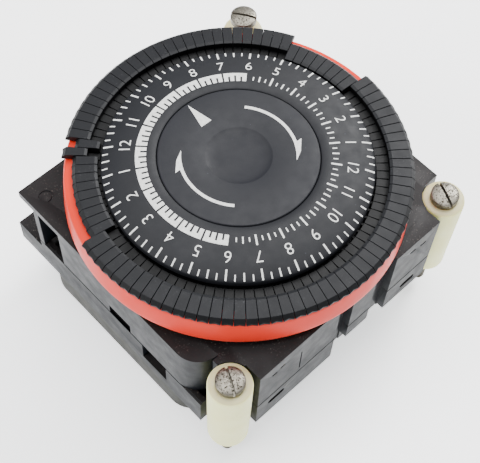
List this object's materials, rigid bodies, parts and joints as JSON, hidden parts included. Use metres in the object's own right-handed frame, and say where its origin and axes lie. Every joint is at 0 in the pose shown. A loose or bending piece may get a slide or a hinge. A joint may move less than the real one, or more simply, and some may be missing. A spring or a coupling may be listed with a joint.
{
  "type": "programmable timer",
  "caption": "Square plug-in programmable timer: a 24-hour dial ringed by sliding tappets on a two-part housing, held by long screws through spacer tubes.",
  "frame": {"origin": "bottom centre of the rear cover, on the dial's axis", "axes": "+Z out of the dial towards the user, +Y to the tip of the pointer on the centre disc, +X to the right seen from the front"},
  "size_m": [0.07, 0.07, 0.0483],
  "materials": {
    "housing_brown": "dusty satin moulding",
    "cover_olive": "satin moulding",
    "ivory": "slightly translucent nylon",
    "nickel": "nickel plated, a little pitted",
    "zinc": "zinc plated",
    "tinned": "tin-plated brass",
    "ring_red": "glossy moulding",
    "charcoal": "satin moulding with printed scale",
    "acetal": "natural acetal",
    "ferrite": "bonded ferrite",
    "copper": "enamelled copper",
    "lead_red": "insulated wire",
    "spring_steel": "bright spring steel",
    "bronze": "phosphor bronze",
    "black_case": "phenolic moulding"
  },
  "bodies": {
    "housing": {"upper_shell": "housing_brown", "lower_shell": "housing_brown", "rear_cover": "cover_olive", "mounting_spacers": "ivory", "mounting_screws": "nickel", "shell_screws": "zinc", "cover_screws": "zinc", "terminal_tabs": "tinned", "centre_disc": "charcoal", "dial_spindle": "zinc", "spindle_clip": "spring_steel", "dial_spring_washer": "spring_steel", "wheel_axles": "zinc", "bearing_bridge": "zinc", "bridge_screws": "zinc", "stator_cup_upper": "zinc", "stator_cup_lower": "zinc", "coil_bobbin": "acetal", "coil_winding": "copper", "coil_leads": "lead_red", "lever_pivot": "zinc", "lever_spring": "spring_steel", "switch_case": "black_case", "switch_blade": "bronze", "switch_contacts": "tinned"},
    "dial": {"tappet_ring": "ring_red", "tappet_carrier": "charcoal", "dial_face": "charcoal", "dial_gear": "acetal", "outer_tappets_night": "charcoal", "outer_tappets_morning": "charcoal", "outer_tappets_day": "charcoal"},
    "drive_arbor": {"drive_arbor": "acetal", "clutch_spring": "spring_steel"},
    "clutch_wheel": {"clutch_wheel": "acetal"},
    "second_wheel": {"second_wheel": "acetal"},
    "first_wheel": {"first_wheel": "acetal"},
    "rotor": {"rotor_shaft": "zinc", "rotor_magnet": "ferrite"},
    "follower_lever": {"follower_lever": "bronze"},
    "switch_plunger": {"switch_plunger": "acetal"},
    "tappet_23": {"tappet_23": "charcoal"},
    "tappet_24": {"tappet_24": "charcoal"},
    "tappet_25": {"tappet_25": "charcoal"},
    "tappet_26": {"tappet_26": "charcoal"},
    "tappet_27": {"tappet_27": "charcoal"},
    "tappet_28": {"tappet_28": "charcoal"},
    "tappet_29": {"tappet_29": "charcoal"},
    "tappet_30": {"tappet_30": "charcoal"},
    "tappet_31": {"tappet_31": "charcoal"},
    "tappet_32": {"tappet_32": "charcoal"},
    "tappet_33": {"tappet_33": "charcoal"},
    "tappet_84": {"tappet_84": "charcoal"},
    "tappet_85": {"tappet_85": "charcoal"},
    "tappet_86": {"tappet_86": "charcoal"},
    "tappet_87": {"tappet_87": "charcoal"},
    "tappet_88": {"tappet_88": "charcoal"},
    "tappet_89": {"tappet_89": "charcoal"},
    "tappet_90": {"tappet_90": "charcoal"},
    "tappet_91": {"tappet_91": "charcoal"}
  },
  "joints": [
    {"name": "dial_turn", "type": "hinge", "parent": "housing", "child": "dial", "pos_m": [0, 0, 0.04], "axis": [0, 0, 1], "continuous": true},
    {"name": "arbor_turn", "type": "hinge", "parent": "housing", "child": "drive_arbor", "pos_m": [-0.01626, 0.01626, 0.03], "axis": [0, 0, 1], "continuous": true},
    {"name": "rotor_spin", "type": "hinge", "parent": "housing", "child": "rotor", "pos_m": [0, 0.002, 0.01], "axis": [0, 0, 1], "continuous": true},
    {"name": "first_wheel_turn", "type": "hinge", "parent": "housing", "child": "first_wheel", "pos_m": [0.00699, 0.01176, 0.02], "axis": [0, 0, 1], "continuous": true},
    {"name": "second_wheel_turn", "type": "hinge", "parent": "housing", "child": "second_wheel", "pos_m": [-0.00501, 0.0121, 0.024], "axis": [0, 0, 1], "continuous": true},
    {"name": "clutch_wheel_turn", "type": "hinge", "parent": "housing", "child": "clutch_wheel", "pos_m": [-0.01626, 0.01626, 0.026], "axis": [0, 0, 1], "continuous": true},
    {"name": "follower_swing", "type": "hinge", "parent": "housing", "child": "follower_lever", "pos_m": [-0.025, -0.003, 0.036], "axis": [0, 0, 1], "range_deg": [0, 13], "stiffness_Nm_per_rad": 0.004, "deforming": ["lever_spring"]},
    {"name": "plunger_slide", "type": "slide", "parent": "housing", "child": "switch_plunger", "axis": [1, 0, 0], "range_m": [0, 0.00137], "deforming": ["switch_blade"]},
    {"name": "tappet_23_slide", "type": "slide", "parent": "dial", "child": "tappet_23", "axis": [-0.6378, 0.7702, 0], "range_m": [0, 0.0022]},
    {"name": "tappet_24_slide", "type": "slide", "parent": "dial", "child": "tappet_24", "axis": [-0.6868, 0.7269, 0], "range_m": [-0.0022, 0]},
    {"name": "tappet_25_slide", "type": "slide", "parent": "dial", "child": "tappet_25", "axis": [-0.7328, 0.6804, 0], "range_m": [0, 0.0022]},
    {"name": "tappet_26_slide", "type": "slide", "parent": "dial", "child": "tappet_26", "axis": [-0.7758, 0.631, 0], "range_m": [0, 0.0022]},
    {"name": "tappet_27_slide", "type": "slide", "parent": "dial", "child": "tappet_27", "axis": [-0.8154, 0.5789, 0], "range_m": [0, 0.0022]},
    {"name": "tappet_28_slide", "type": "slide", "parent": "dial", "child": "tappet_28", "axis": [-0.8515, 0.5244, 0], "range_m": [0, 0.0022]},
    {"name": "tappet_29_slide", "type": "slide", "parent": "dial", "child": "tappet_29", "axis": [-0.884, 0.4675, 0], "range_m": [0, 0.0022]},
    {"name": "tappet_30_slide", "type": "slide", "parent": "dial", "child": "tappet_30", "axis": [-0.9127, 0.4087, 0], "range_m": [0, 0.0022]},
    {"name": "tappet_31_slide", "type": "slide", "parent": "dial", "child": "tappet_31", "axis": [-0.9374, 0.3482, 0], "range_m": [0, 0.0022]},
    {"name": "tappet_32_slide", "type": "slide", "parent": "dial", "child": "tappet_32", "axis": [-0.9582, 0.2861, 0], "range_m": [0, 0.0022]},
    {"name": "tappet_33_slide", "type": "slide", "parent": "dial", "child": "tappet_33", "axis": [-0.9749, 0.2228, 0], "range_m": [0, 0.0022]},
    {"name": "tappet_84_slide", "type": "slide", "parent": "dial", "child": "tappet_84", "axis": [0.9996, -0.0284, 0], "range_m": [0, 0.0022]},
    {"name": "tappet_85_slide", "type": "slide", "parent": "dial", "child": "tappet_85", "axis": [0.9993, 0.0371, 0], "range_m": [0, 0.0022]},
    {"name": "tappet_86_slide", "type": "slide", "parent": "dial", "child": "tappet_86", "axis": [0.9947, 0.1024, 0], "range_m": [0, 0.0022]},
    {"name": "tappet_87_slide", "type": "slide", "parent": "dial", "child": "tappet_87", "axis": [0.9859, 0.1672, 0], "range_m": [0, 0.0022]},
    {"name": "tappet_88_slide", "type": "slide", "parent": "dial", "child": "tappet_88", "axis": [0.9729, 0.2313, 0], "range_m": [0, 0.0022]},
    {"name": "tappet_89_slide", "type": "slide", "parent": "dial", "child": "tappet_89", "axis": [0.9557, 0.2945, 0], "range_m": [0, 0.0022]},
    {"name": "tappet_90_slide", "type": "slide", "parent": "dial", "child": "tappet_90", "axis": [0.9344, 0.3563, 0], "range_m": [0, 0.0022]},
    {"name": "tappet_91_slide", "type": "slide", "parent": "dial", "child": "tappet_91", "axis": [0.9091, 0.4167, 0], "range_m": [0, 0.0022]}
  ],
  "couplings": [
    {"joint": "arbor_turn", "follows": "dial_turn", "ratio": -6.6667},
    {"joint": "first_wheel_turn", "follows": "rotor_spin", "ratio": -0.2},
    {"joint": "second_wheel_turn", "follows": "rotor_spin", "ratio": 0.04},
    {"joint": "clutch_wheel_turn", "follows": "rotor_spin", "ratio": -0.008},
    {"joint": "plunger_slide", "follows": "follower_swing", "m_per_rad": 0.006}
  ]
}
